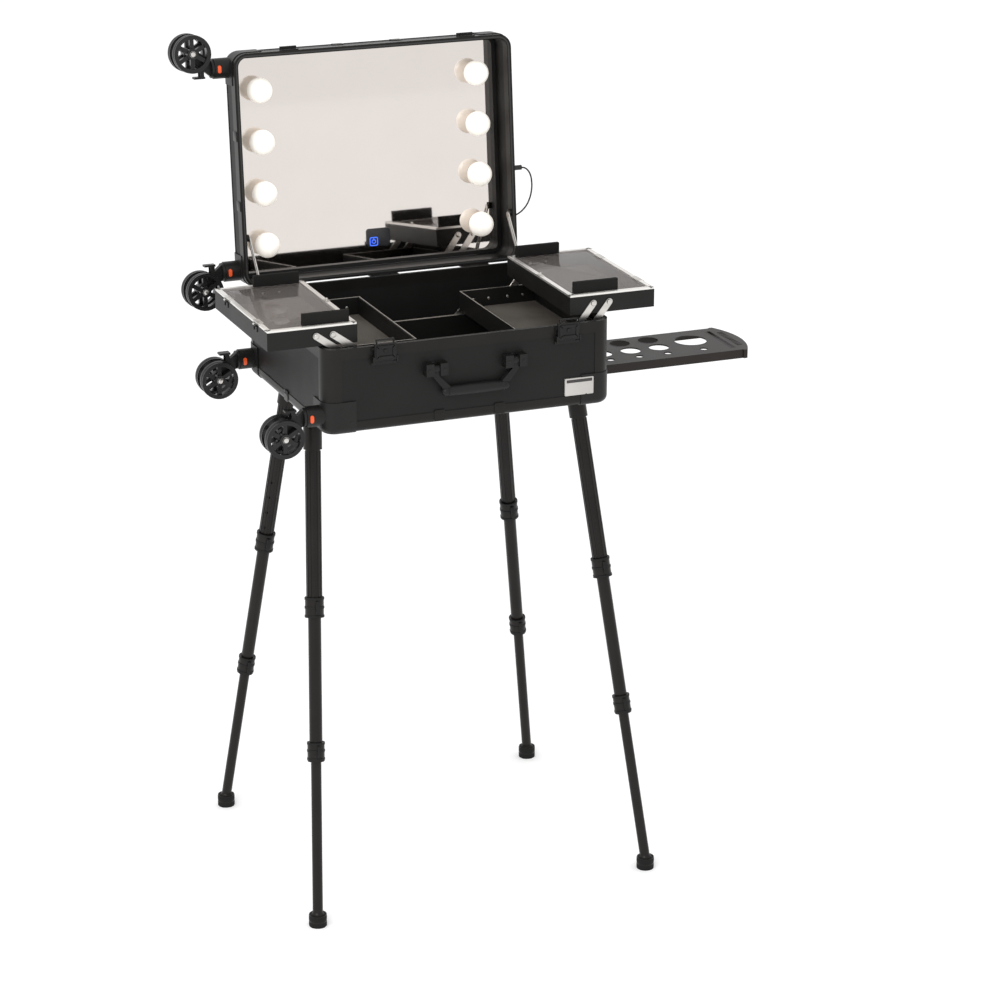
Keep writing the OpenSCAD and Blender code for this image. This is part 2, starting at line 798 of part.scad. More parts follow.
module upper_tray(s) {
    color("#2c2b29") at_tray(s, upper_tray_at(s)) {
        tray_box(upper_w, box_h, [upper_pivot]);
        // Hinge knuckles on the outer edge
        for (y = [0.22, 0.78]) for (k = [-1, 1])
            translate([upper_w + tray_knuckle_r + 0.2, y * tray_d + k * tray_knuckle_w, box_h]) {
                rotate([90, 0, 0]) cylinder(r = tray_knuckle_r, h = tray_knuckle_w - clear, center = true);
                bar([1.6, tray_knuckle_w - clear, 12], [-tray_knuckle_r + 0.6, 0, -6]);
                if (k < 0) rotate([-90, 0, 0]) cylinder(r = 1.2, h = 2 * tray_knuckle_w);
            }
    }
}

// Silver frame with a clear pane and two soft pads, hinged on the tray's outer edge
module tray_lid(s) {
    color("#d9d5ce") at_tray(s, upper_tray_at(s)) translate([0, 0, box_h + clear / 2]) {
        rim_h = tray_rim_h - clear / 2;
        difference() {
            cube([upper_w, tray_d, rim_h]);
            translate([tray_rim_w, tray_rim_w, -1])
                cube([upper_w - 2 * tray_rim_w, tray_d - 2 * tray_rim_w, rim_h + 2]);
        }
        // Pane
        translate([tray_rim_w, tray_rim_w, rim_h - pane_t - 0.5])
            cube([upper_w - 2 * tray_rim_w, tray_d - 2 * tray_rim_w, pane_t]);
        // Pads
        for (y = [tray_rim_w + 1, tray_d - tray_rim_w - 1 - pad_size[1]])
            translate([pad_in, y, rim_h - 0.5]) cube(pad_size);
        // Hinge knuckles
        for (y = [0.22, 0.78]) difference() {
            translate([upper_w, y * tray_d, 0]) union() {
                translate([tray_knuckle_r + 0.2, 0, -clear / 2]) rotate([90, 0, 0])
                    cylinder(r = tray_knuckle_r, h = tray_knuckle_w - clear, center = true);
                bar([tray_knuckle_r + 1.2, tray_knuckle_w - clear, 1.5], [tray_knuckle_r / 2 - 0.4, 0, 1.6]);
            }
            translate([upper_w + tray_knuckle_r + 0.2, y * tray_d, -clear / 2]) rotate([90, 0, 0])
                cylinder(r = 1.2 + run, h = 3 * tray_knuckle_w, center = true);
        }
        // Spring latch on the inner edge
        bar([10, 14, 2], [5, tray_d / 2, rim_h + 1]);
    }
}

// One arm at the front and one at the back, between two pivots
module arm_pair(from, length, angle) {
    for (y = arm_y) translate([from[0], y, from[1]]) rotate([0, -angle, 0]) rotate([-90, 0, 0])
        difference() {
            linear_extrude(arm_t) {
                circle(d = arm_w);
                translate([0, -arm_w / 2]) square([length, arm_w]);
                translate([length, 0]) circle(d = arm_w);
            }
            for (x = [0, length]) translate([x, 0, -1]) cylinder(r = rivet_r + run, h = arm_t + 2);
        }
}

module lower_arms(s, k) {
    color("#cfccc6") on_base() mirror([1 - s, 0, 0])
        arm_pair([base_pivot_x + k * arm_gap / 2, base_pivot_z], lower_arm, lower_arm_open[s]);
}

module upper_arms(s, k) {
    from = lower_tray_at(s) + [lower_pivot_2 + k * arm_gap / 2, pivot_up];
    color("#cfccc6") on_base() mirror([1 - s, 0, 0]) arm_pair(from, upper_arm, upper_arm_open[s]);
}

// ---- tool shelf ----

module tool_shelf() {
    bow_r = (pow(shelf_w / 2 + grip_over, 2) + pow(grip_sag, 2)) / (2 * grip_sag);
    color("#4a423c") on_base() translate([0, shelf_y, shelf_z]) difference() {
        union() {
            translate([shelf_start, -shelf_w / 2, 0])
                cube([shelf_end - grip_l + grip_seat - shelf_start, shelf_w, shelf_t]);
            linear_extrude(shelf_t) intersection() {
                translate([shelf_end - bow_r, 0]) circle(bow_r, $fn = 96);
                translate([shelf_end - grip_l, -shelf_w / 2 - grip_over])
                    square([grip_l, shelf_w + 2 * grip_over]);
            }
        }
        // Hollow underside
        translate([shelf_start + shelf_skin, -shelf_w / 2 + shelf_skin, -1])
            cube([shelf_end - grip_l - shelf_start - 2 * shelf_skin, shelf_w - 2 * shelf_skin,
                shelf_t - shelf_skin + 1]);
        // Finger slot and tool holes
        bar([finger_slot[0], finger_slot[1], 3 * shelf_t], [shelf_end - slot_in, 0, 0]);
        tool_hole(big_hole_in, big_row, hole_large_d);
        for (k = [0 : 2]) for (y = medium_rows) tool_hole(medium_in + k * hole_pitch, y, hole_medium_d);
        tool_hole(big_hole_in, small_row, hole_small_d);
        for (k = [0 : 2]) tool_hole(medium_in + k * hole_pitch, small_row, hole_small_d);
    }
}

module tool_hole(in, y, d) {
    translate([shelf_end - in, y, -1]) cylinder(d = d, h = shelf_t + 2);
}

// ---- legs ----

function leg_sign(i) = i % 2 == 0 ? -1 : 1;
function leg_row(i) = i < 2 ? 0 : 1;
function leg_from(i) = [leg_sign(i) * leg_top[leg_row(i)][0], leg_top[leg_row(i)][1], 0];
function leg_to(i) = [leg_sign(i) * leg_foot[leg_row(i)][0], leg_foot[leg_row(i)][1], -leg_h];

// Moves a shape that hangs below the origin along the leg's line
module at_leg(i) {
    up = leg_from(i) - leg_to(i);
    translate(leg_from(i)) rotate([0, acos(up[2] / norm(up)), atan2(up[1], up[0])]) children();
}

module tube(low, high, outer, inner) {
    translate([0, 0, -high]) difference() {
        cylinder(r = outer, h = high - low);
        translate([0, 0, -1]) cylinder(r = inner, h = high - low + 2);
    }
}

// Point on a leg's line, s down from the case
function leg_point(i, s) = leg_from(i) + s * (leg_to(i) - leg_from(i)) / norm(leg_to(i) - leg_from(i));

module leg_uppers() {
    color("#2a2725") on_base() for (i = [0 : 3]) {
        top = leg_point(i, ball_down);
        // Plate on the case with a cup for the leg's ball
        difference() {
            translate([top[0], top[1], -plate_t]) cylinder(r = plate_r, h = plate_t);
            translate(top) sphere(ball_r + clear);
        }
        at_leg(i) {
            translate([0, 0, -ball_down]) sphere(ball_r);
            translate([0, 0, -leg_socket_l]) cylinder(r = leg_socket_r, h = leg_socket_l - ball_down);
            difference() {
                union() {
                    translate([0, 0, -upper_tube_l])
                        cylinder(d = upper_tube_d, h = upper_tube_l - leg_socket_l + 1);
                    translate([0, 0, -upper_tube_l - collar_l / 3]) cylinder(r = leg_socket_r, h = collar_l);
                }
                translate([0, 0, -upper_tube_l - collar_l])
                    cylinder(d = middle_tube_d + 2 * slide_fit,
                        h = upper_tube_l + collar_l - leg_socket_l - 4);
                for (k = [0 : 3]) translate([0, 0, -upper_tube_l + collar_l + 4 + k * pin_pitch])
                    rotate([90, 0, 0]) cylinder(r = pin_hole_r, h = upper_tube_d);
            }
        }
    }
}

module leg_middle(i) {
    bore = lower_tube_d / 2 + slide_fit;
    color("#33302d") on_base() at_leg(i) {
        tube(upper_tube_l - tube_overlap, middle_end, middle_tube_d / 2, bore);
        tube(middle_end - collar_l * 2 / 3, middle_end + collar_l / 3, leg_socket_r - 1.5, bore);
    }
}

module leg_lower(i) {
    ankle = leg_point(i, norm(leg_from(i) - leg_to(i)) - foot_h);
    color("#33302d") on_base() {
        at_leg(i) {
            length = norm(leg_from(i) - ankle);
            translate([0, 0, -length]) cylinder(d = lower_tube_d, h = length - middle_end + tube_overlap);
            translate([0, 0, -length]) sphere(foot_ball_r);
        }
        // Rubber foot on the leg's ball
        difference() {
            translate([ankle[0], ankle[1], -leg_h]) cylinder(d = foot_d, h = foot_h + 4);
            translate(ankle) sphere(foot_ball_r + clear);
        }
    }
}

// ---- casters ----

// Moves a shape to a caster's place, with z pointing away from the case's left side
module at_caster(i) {
    translate([-case_w / 2, (i % 2 == 0 ? -1 : 1) * (case_d / 2 - caster_inset), caster_rise])
        rotate([0, -90, 0]) children();
}

module on_caster_half(i) {
    if (i < 2) on_base() at_caster(i) children();
    else on_lid() at_caster(i) children();
}

module caster_socket(i) {
    translate([0, 0, -socket_r]) cylinder(r = socket_r, h = socket_r + socket_l);
}

module button_shape(grow, length) {
    translate([socket_r - length, 0, button_out]) rotate([0, 90, 0]) linear_extrude(length + 4) {
        r = button_size[0] / 2 + grow;
        for (s = [-1, 1]) translate([0, s * (button_size[1] - button_size[0]) / 2]) circle(r);
        square([2 * r, button_size[1] - button_size[0]], center = true);
    }
}

module button_pocket(i) {
    rotate([0, 0, button_turn[i]]) button_shape(clear, button_size[2] + 3);
}

module caster_button(i) {
    color("#e2592a") on_caster_half(i) rotate([0, 0, button_turn[i]]) intersection() {
        button_shape(0, button_size[2]);
        cylinder(r = socket_r + 1, h = 2 * socket_l);
    }
}

module caster_fork(i) {
    color("#2b2b2b") on_caster_half(i) rotate([0, 0, caster_turn[i]]) {
        // Swivel disc on the socket
        translate([0, 0, socket_l + clear]) cylinder(r = socket_r - 2, h = 5);
        // Plate between the wheels
        hull() {
            bar([2 * socket_r - 10, fork_t, 1], [0, 0, socket_l + 5]);
            translate([-caster_trail, 0, axle_out]) rotate([90, 0, 0])
                cylinder(r = 12, h = fork_t, center = true, $fn = 32);
        }
        // Axle and its heads
        translate([-caster_trail, 0, axle_out]) rotate([90, 0, 0]) {
            cylinder(r = axle_r, h = wheel_gap + 2 * wheel_w + 2 * clear, center = true);
            for (s = [-1, 1]) translate([0, 0, s * (wheel_gap / 2 + wheel_w + clear + 0.8)])
                cylinder(r = axle_r + 2, h = 1.6, center = true);
        }
        // Pin of the brake pedal
        translate(pedal_pivot) rotate([90, 0, 0])
            cylinder(r = pedal_pin_r, h = wheel_gap - 2 * clear, center = true);
    }
}

module caster_wheels(i) {
    color("#1b1b1b") on_caster_half(i) rotate([0, 0, caster_turn[i]])
        translate([-caster_trail, 0, axle_out]) rotate([90, 0, 0])
            for (s = [-1, 1]) translate([0, 0, s * (wheel_gap + wheel_w) / 2]) wheel();
}

module wheel() {
    difference() {
        union() {
            difference() {
                cylinder(d = wheel_d, h = wheel_w, center = true);
                cylinder(d = wheel_d - 16, h = wheel_w + 2, center = true);
            }
            cylinder(r = axle_r + 7, h = wheel_w, center = true);
            for (a = [0 : 60 : 300]) rotate([0, 0, a])
                translate([axle_r + 3, -4, -wheel_w / 4]) cube([wheel_d / 2 - axle_r - 8, 8, wheel_w / 2]);
        }
        cylinder(r = axle_r + run, h = wheel_w + 2, center = true);
    }
}

module caster_pedal(i) {
    color("#e2592a") on_caster_half(i) rotate([0, 0, caster_turn[i]]) translate(pedal_pivot) {
        difference() {
            union() for (s = [-1, 1]) translate([0, s * (fork_t / 2 + clear + pedal_ear_t / 2), 0])
                rotate([90, 0, 0]) linear_extrude(pedal_ear_t, center = true) {
                    circle(pedal_pin_r + 2);
                    translate([0, -pedal_pin_r - 2]) square([pedal_reach, 2 * pedal_pin_r + 4]);
                }
            rotate([90, 0, 0]) cylinder(r = pedal_pin_r + run, h = wheel_gap * 2, center = true);
        }
        bar([4, fork_t + 2 * clear + 2 * pedal_ear_t, pedal_l], [pedal_reach + 1.5, 0, pedal_l / 2 - 6]);
    }
}

// ---- nodes ----

base_shell();
base_frame();
base_corners();
base_fittings();
partition();
leg_uppers();
lid_shell();
lid_frame();
lid_corners();
lid_fittings();
bulbs();
lid_electrics();
cord_lead();
cord_plug();
front_handle();
side_handle();
tool_shelf();
mirror_glass();  // mirror
for (s = [0, 1]) {
    latch(latch_x[s]);
    lid_stay(side_sign(s));
    lower_tray(s);
    upper_tray(s);
    tray_lid(s);
    lower_arms(s, -1);
    lower_arms(s, 1);
    upper_arms(s, -1);
    upper_arms(s, 1);
}
for (i = [0 : 3]) {
    leg_middle(i);
    leg_lower(i);
    caster_fork(i);
    caster_wheels(i);
    caster_pedal(i);
    caster_button(i);
}
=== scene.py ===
import json
import math

import bmesh
import bpy
from mathutils import Matrix, Vector


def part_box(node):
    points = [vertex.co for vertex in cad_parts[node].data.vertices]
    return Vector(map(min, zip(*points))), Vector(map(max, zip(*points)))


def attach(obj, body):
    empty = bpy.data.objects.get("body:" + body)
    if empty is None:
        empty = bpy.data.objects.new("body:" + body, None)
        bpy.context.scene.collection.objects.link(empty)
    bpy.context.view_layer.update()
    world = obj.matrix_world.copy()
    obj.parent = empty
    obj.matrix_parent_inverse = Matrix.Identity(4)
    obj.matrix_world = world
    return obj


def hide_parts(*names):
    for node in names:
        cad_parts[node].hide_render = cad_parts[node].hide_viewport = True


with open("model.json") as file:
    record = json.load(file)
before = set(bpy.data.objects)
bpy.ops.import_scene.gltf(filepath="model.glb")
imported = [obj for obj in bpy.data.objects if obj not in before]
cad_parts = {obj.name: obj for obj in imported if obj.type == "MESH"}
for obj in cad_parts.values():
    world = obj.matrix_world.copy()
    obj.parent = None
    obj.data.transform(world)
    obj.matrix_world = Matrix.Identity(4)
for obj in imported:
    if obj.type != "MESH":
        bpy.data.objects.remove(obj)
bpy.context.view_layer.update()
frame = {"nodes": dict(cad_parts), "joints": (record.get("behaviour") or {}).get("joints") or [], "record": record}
nodes = frame["nodes"]

# ---- Where things are ----
# The case's own frame lies under the middle of its base, and the lid's at the lid's hinge edge:
# x to the right, d behind the lid's rim, v up the lid. Both are in millimetres.
case_low, case_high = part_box("base_frame")
case_w, case_d, base_h = (1000 * (case_high[i] - case_low[i]) for i in range(3))
case_middle = Vector(((case_low[0] + case_high[0]) / 2, (case_low[1] + case_high[1]) / 2, case_low[2]))
CASE = Matrix.Translation(case_middle) @ Matrix.Scale(0.001, 4)

joints = {j["name"]: j for j in frame["joints"]}
lid_lean = -joints["lid_hinge"]["range_deg"][0] - 90
hinge_pin = Vector(joints["lid_hinge"]["pos_m"])
lid_h = 75
hinge_out = 1000 * (hinge_pin.y - case_middle.y) - case_d / 2
LID = (
    CASE
    @ Matrix.Translation((0, case_d / 2 + 2 * hinge_out, base_h))
    @ Matrix.Rotation(math.radians(-lid_lean), 4, "X")
)


def pose_of(joint):
    """A joint's place in the case's frame, in millimetres."""
    return CASE.inverted() @ Vector(joints[joint]["pos_m"])


# ---- Studio ----
# A pale floor that runs out of sight under an even white sky, with one broad soft light high on the left.
# The camera stands to the front left, a little above the open lid.
studio = bpy.data.worlds.new("studio")
bpy.context.scene.world = studio
studio.use_nodes = True
studio.node_tree.nodes["Background"].inputs["Color"].default_value = (1, 1, 1, 1)
studio.node_tree.nodes["Background"].inputs["Strength"].default_value = 1.0
bpy.context.scene.view_settings.view_transform = "Standard"

floor_mesh = bmesh.new()
bmesh.ops.create_grid(floor_mesh, x_segments=1, y_segments=1, size=40)
floor_data = bpy.data.meshes.new("floor")
floor_mesh.to_mesh(floor_data)
floor_mesh.free()
floor = bpy.data.objects.new("floor", floor_data)
bpy.context.scene.collection.objects.link(floor)
pale = bpy.data.materials.new("pale_floor")
pale.use_nodes = True
pale_skin = pale.node_tree.nodes["Principled BSDF"].inputs
pale_skin["Base Color"].default_value = (0.95, 0.95, 0.95, 1)
pale_skin["Roughness"].default_value = 0.9
pale_skin["Specular IOR Level"].default_value = 0.1
pale_skin["Emission Color"].default_value = (1, 1, 1, 1)
pale_skin["Emission Strength"].default_value = 0.12
floor_data.materials.append(pale)

soft_box = bpy.data.lights.new("soft_box", "AREA")
soft_box.shape = "RECTANGLE"
soft_box.size, soft_box.size_y = 2.4, 1.6
soft_box.energy = 60
soft_box_stand = bpy.data.objects.new("soft_box", soft_box)
soft_box_stand.location = (-2.6, -2.4, 3.4)
towards_lid = Vector((0, 0, 1.1)) - soft_box_stand.location
soft_box_stand.rotation_euler = towards_lid.to_track_quat("-Z", "Y").to_euler()
bpy.context.scene.collection.objects.link(soft_box_stand)

camera_data = bpy.data.cameras.new("camera")
camera_data.sensor_width = 36
camera_data.lens = 119.485
camera_data.clip_end = 200
camera = bpy.data.objects.new("camera", camera_data)
bpy.context.scene.collection.objects.link(camera)
bpy.context.scene.camera = camera
yaw, pitch, roll = (math.radians(a) for a in (22.27, 19.238, 0.204))
ahead = Vector((math.sin(yaw) * math.cos(pitch), math.cos(yaw) * math.cos(pitch), -math.sin(pitch)))
level = Vector((math.cos(yaw), -math.sin(yaw), 0))
upward = level.cross(ahead)
across = math.cos(roll) * level + math.sin(roll) * upward
upward = math.cos(roll) * upward - math.sin(roll) * level
camera_spot = CASE @ Vector((-2211.65, -5779.51, 1923.27))
camera_turn = Matrix((across, upward, -ahead)).transposed().to_4x4()
camera.matrix_world = Matrix.Translation(camera_spot) @ camera_turn


# ---- Lead of the lid's lamps ----
# A thin soft black lead, 3 mm across. It leaves the gland of the socket panel on the lid's right side
# and plugs back into the jack above, in one open bow.
def finish(
    name, colour, roughness, metallic=0.0, specular=0.5, grain=0.0, depth=0.0, mottle=0.0, stretch=(1, 1, 1)
):
    """A surface with fine bumps, so many per metre, and a slow drift of shade and gloss."""
    material = bpy.data.materials.new(name)
    material.use_nodes = True
    tree = material.node_tree
    skin = tree.nodes["Principled BSDF"]
    skin.inputs["Metallic"].default_value = metallic
    skin.inputs["Specular IOR Level"].default_value = specular
    place = tree.nodes.new("ShaderNodeTexCoord")
    turn = tree.nodes.new("ShaderNodeMapping")
    turn.inputs["Scale"].default_value = stretch
    tree.links.new(place.outputs["Object"], turn.inputs["Vector"])
    cloud = tree.nodes.new("ShaderNodeTexNoise")
    cloud.inputs["Scale"].default_value = 14
    cloud.inputs["Detail"].default_value = 6
    tree.links.new(turn.outputs["Vector"], cloud.inputs["Vector"])
    shade = tree.nodes.new("ShaderNodeValToRGB")
    for stop, factor in zip(shade.color_ramp.elements, (1 - mottle, 1 + mottle)):
        stop.color = (*(min(1.0, c * factor) for c in colour), 1)
    shade.color_ramp.elements[0].position = 0.3
    shade.color_ramp.elements[1].position = 0.7
    tree.links.new(cloud.outputs["Fac"], shade.inputs["Fac"])
    tree.links.new(shade.outputs["Color"], skin.inputs["Base Color"])
    gloss = tree.nodes.new("ShaderNodeMapRange")
    gloss.inputs["To Min"].default_value = roughness * 0.88
    gloss.inputs["To Max"].default_value = min(1.0, roughness * 1.12)
    tree.links.new(cloud.outputs["Fac"], gloss.inputs["Value"])
    tree.links.new(gloss.outputs["Result"], skin.inputs["Roughness"])
    if grain:
        pits = tree.nodes.new("ShaderNodeTexNoise")
        pits.inputs["Scale"].default_value = grain
        pits.inputs["Detail"].default_value = 3
        tree.links.new(turn.outputs["Vector"], pits.inputs["Vector"])
        bump = tree.nodes.new("ShaderNodeBump")
        bump.inputs["Strength"].default_value = 0.6
        bump.inputs["Distance"].default_value = depth
        tree.links.new(pits.outputs["Fac"], bump.inputs["Height"])
        tree.links.new(bump.outputs["Normal"], skin.inputs["Normal"])
    return material


def clad(material, *names):
    """Gives CAD nodes their real finish."""
    for name in names:
        nodes[name].data.materials.clear()
        nodes[name].data.materials.append(material)


panel_out = case_w / 2 - 1.2
jack_depth = lid_h - 37.3
lead_route = [
    (4, 84), (12, 85), (22, 89), (32, 96), (40, 105), (46, 116), (50, 128), (52, 140), (52, 152), (50, 164),
    (45, 174), (38, 180), (30, 182),
]
lead_points = [LID @ Vector((panel_out + x, jack_depth, v)) for x, v in lead_route]
lead_curve = bpy.data.curves.new("lamp_lead", "CURVE")
lead_curve.dimensions = "3D"
lead_curve.bevel_depth = 0.0016
lead_curve.bevel_resolution = 4
lead_curve.resolution_u = 6
lead_curve.use_fill_caps = True
spline = lead_curve.splines.new("BEZIER")
spline.bezier_points.add(len(lead_points) - 1)
for knot, point in zip(spline.bezier_points, lead_points):
    knot.co = point
    knot.handle_left_type = knot.handle_right_type = "AUTO"
lead = bpy.data.objects.new("lamp_lead", lead_curve)
bpy.context.scene.collection.objects.link(lead)
black_rubber = finish("black_rubber", (0.018, 0.018, 0.018), 0.55, grain=900, depth=0.0001, mottle=0.2)
lead_curve.materials.append(black_rubber)
clad(black_rubber, "cord_plug")
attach(lead, "lid")
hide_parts("cord_lead")


# ---- Panels of the case ----
# Black sheet with a fine moulded grain, framed by the edge extrusions. The base has a brown-grey mat
# on its false floor, and a bare silver plate sits on the front, low on the right.
def added(mesh, place, known):
    """Moves what has been added to a mesh since it had the known vertices."""
    fresh = [v for v in mesh.verts if v not in known]
    bmesh.ops.transform(mesh, matrix=place, verts=fresh)


def soften(mesh, edges, radius, segments=2):
    bmesh.ops.bevel(
        mesh, geom=edges, offset=radius, offset_type="OFFSET", segments=segments, profile=0.5, affect="EDGES",
        material=-1,
    )


def block(mesh, size, place, radius=0.0):
    """A block about a point, with rounded edges."""
    known = set(mesh.verts)
    made = bmesh.ops.create_cube(mesh, size=1)["verts"]
    bmesh.ops.scale(mesh, vec=size, verts=made)
    if radius:
        soften(mesh, list({e for v in made for e in v.link_edges}), radius)
    added(mesh, place, known)


def plate(mesh, w, h, thick, radius, place, edge=0.0, open_by=0.0):
    """A plate with round corners that stands on z = 0, or a hoop where it is open inside a border."""
    known, faces = set(mesh.verts), set(mesh.faces)
    made = bmesh.ops.create_grid(mesh, x_segments=1, y_segments=1, size=0.5)["verts"]
    bmesh.ops.scale(mesh, vec=(w, h, 1), verts=made)
    bmesh.ops.bevel(
        mesh, geom=made, offset=radius, offset_type="OFFSET", segments=6, profile=0.5, affect="VERTICES",
        material=-1,
    )
    flat = [f for f in mesh.faces if f not in faces]
    if open_by:
        inner = list(flat)
        flat = bmesh.ops.inset_region(
            mesh, faces=flat, thickness=open_by, use_even_offset=True, use_boundary=True
        )["faces"]
        bmesh.ops.delete(mesh, geom=inner, context="FACES_ONLY")
    risen = bmesh.ops.extrude_face_region(mesh, geom=flat)["geom"]
    tops = {g for g in risen if isinstance(g, bmesh.types.BMVert)}
    bmesh.ops.translate(mesh, vec=(0, 0, thick), verts=list(tops))
    if edge:
        lids = {g for g in risen if isinstance(g, bmesh.types.BMFace)}
        soften(mesh, [e for f in lids for e in f.edges if any(n not in lids for n in e.link_faces)], edge)
    added(mesh, place, known)


def turned(mesh, profile, place, steps=24):
    """A solid of revolution about z, from (radius, height) pairs."""
    known = set(mesh.verts)
    line = [mesh.verts.new((r, 0, h)) for r, h in profile]
    edges = [mesh.edges.new(pair) for pair in zip(line, line[1:])]
    bmesh.ops.spin(
        mesh, geom=line + edges, cent=(0, 0, 0), axis=(0, 0, 1), angle=2 * math.pi, steps=steps,
        use_merge=True,
    )
    bmesh.ops.remove_doubles(mesh, verts=[v for v in mesh.verts if v not in known], dist=0.0005)
    added(mesh, place, known)


def ring(mesh, inner, outer, height, place, edge=0.3, steps=48):
    """A flat ring with softened edges that stands on z = 0."""
    turned(mesh, [
        (inner, 0), (outer, 0), (outer, height - edge), (outer - edge, height), (inner + edge, height),
        (inner, height - edge), (inner, 0),
    ], place, steps)


def rivet(mesh, place, radius=2.4, height=1.0):
    turned(mesh, [
        (0, height), (radius * 0.6, height * 0.9), (radius * 0.9, height * 0.5), (radius, 0), (0, 0),
    ], place, 12)


def facing(origin, out, up=(0, 0, 1)):
    """A frame at a point, with z pointing out of a surface and y up along it."""
    z = Vector(out).normalized()
    x = Vector(up).cross(z).normalized()
    return Matrix.Translation(origin) @ Matrix((x, z.cross(x), z)).transposed().to_4x4()


def piece(name, mesh, material, body, place=CASE, crease=35):
    """Puts a mesh made in millimetres in its place, and lets it ride on a body."""
    mesh.transform(place)
    bmesh.ops.recalc_face_normals(mesh, faces=mesh.faces)
    for face in mesh.faces:
        face.smooth = True
    data = bpy.data.meshes.new(name)
    mesh.to_mesh(data)
    mesh.free()
    data.set_sharp_from_angle(angle=math.radians(crease))
    data.materials.append(material)
    made = bpy.data.objects.new(name, data)
    bpy.context.scene.collection.objects.link(made)
    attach(made, body)
    return made


FRONT, BACK, RIGHT, TOP = (0, -1, 0), (0, 1, 0), (1, 0, 0), (0, 0, 1)
panel_black = finish(
    "grained_panel", (0.0085, 0.0082, 0.0078), 0.5, specular=0.2, grain=1400, depth=0.00012, mottle=0.12
)
clad(panel_black, "base_shell", "lid_shell")

mat_brown = finish(
    "brown_grey_mat", (0.03, 0.026, 0.023), 0.8, specular=0.2, grain=700, depth=0.0003, mottle=0.15
)
deck_top, mat_w, mat_d, mat_t = 31.6, 556, 436, 0.8
floor_mat = bmesh.new()
plate(floor_mat, mat_w, mat_d, mat_t, 18, Matrix.Translation((0, 0, deck_top + 0.1)))
piece("floor_mat", floor_mat, mat_brown, "base")

plate_silver = finish(
    "bare_plate", (0.5, 0.48, 0.46), 0.4, metallic=0.3, grain=500, depth=0.00003, mottle=0.05
)
bare_w, bare_h, bare_t = 59, 34, 3.3
plate_dark = finish("plate_header", (0.035, 0.03, 0.03), 0.5, grain=500, depth=0.00003, mottle=0.05)
on_front = facing((223.5, -case_d / 2 + 1.2, 40), FRONT)
bare_plate = bmesh.new()
plate(bare_plate, bare_w, bare_h, bare_t, 1.5, on_front, edge=0.15)
piece("bare_plate", bare_plate, plate_silver, "base")
plate_header = bmesh.new()
plate(plate_header, bare_w - 6, 6, 0.25, 0.5, on_front @ Matrix.Translation((0, 11.5, bare_t)))
piece("bare_plate_header", plate_header, plate_dark, "base")


# ---- Edge extrusions ----
# Black anodised aluminium: a rim round each half, bottom bands and upright corners. Rubber seals lie
# in both rims, and short riveted covers close the joints in the bands.
anodised = finish(
    "black_anodised", (0.012, 0.0112, 0.0102), 0.36, metallic=0.3, specular=0.25, grain=900, depth=0.00004,
    mottle=0.15,
)
clad(anodised, "base_frame", "lid_frame")

rim_w, rim_d, seal_w, seal_t, seal_r = case_w - 8, case_d - 8, 3, 0.15, 23
base_seal = bmesh.new()
plate(base_seal, rim_w, rim_d, seal_t, seal_r, Matrix.Translation((0, 0, base_h)), open_by=seal_w)
piece("base_seal", base_seal, black_rubber, "base")
lid_seal = bmesh.new()
plate(lid_seal, rim_w, rim_d, seal_t, seal_r, facing((0, 0.45, case_d / 2), FRONT), open_by=seal_w)
piece("lid_seal", lid_seal, black_rubber, "lid", LID)

cover_x, cover_w, cover_t, skin_gap = (-62, 60), 22, 1.2, 0.02
cover_places = [((x, -case_d / 2 - skin_gap, 15), FRONT) for x in cover_x]
cover_places += [((side * (case_w / 2 + skin_gap), -5, 15), (side, 0, 0)) for side in (-1, 1)]
joint_covers = bmesh.new()
for spot, out in cover_places:
    plate(joint_covers, cover_w, cover_w, cover_t, 3, facing(spot, out), edge=0.4)
    for step in (-6, 6):
        rivet(joint_covers, facing(spot, out) @ Matrix.Translation((step, 4, cover_t)), 2, 0.8)
piece("joint_covers", joint_covers, anodised, "base")

lid_covers = bmesh.new()
for x in cover_x:
    on_top = facing((x, lid_h - 36, case_d + skin_gap), TOP, up=BACK)
    plate(lid_covers, cover_w, cover_w, cover_t, 3, on_top, edge=0.4)
for side, v in ((-1, 0.35), (-1, 0.65), (1, 0.65)):
    on_side = facing((side * (case_w / 2 + skin_gap), 14, v * case_d), (side, 0, 0))
    plate(lid_covers, cover_w, 20, cover_t, 3, on_side, edge=0.4)
piece("lid_covers", lid_covers, anodised, "lid", LID)


# ---- Corner guards ----
# Pressed black guards, held by domed rivets. Those on the left carry the sockets of the casters,
# and four rubber buffers stand on the hinge side.
guard_black = finish(
    "satin_guard", (0.0095, 0.009, 0.0085), 0.42, specular=0.25, grain=600, depth=0.00008, mottle=0.15
)
clad(guard_black, "base_corners", "lid_corners")
guard_face, near_edge, far_edge = 1.6, 34, 52
low_rivet, high_rivet, guard_rivet = 22, 50, (2.6, 0.9)
base_rivets = bmesh.new()
for x in (-1, 1):
    for inset, height in ((near_edge, high_rivet), (far_edge, low_rivet)):
        for y in (-1, 1):
            spot = (x * (case_w / 2 - inset), y * (case_d / 2 + guard_face), height)
            rivet(base_rivets, facing(spot, (0, y, 0)), *guard_rivet)
            if x > 0 or inset == far_edge:
                spot = (x * (case_w / 2 + guard_face), y * (case_d / 2 - inset), low_rivet)
                rivet(base_rivets, facing(spot, (x, 0, 0)), *guard_rivet)
piece("guard_rivets_base", base_rivets, guard_black, "base")


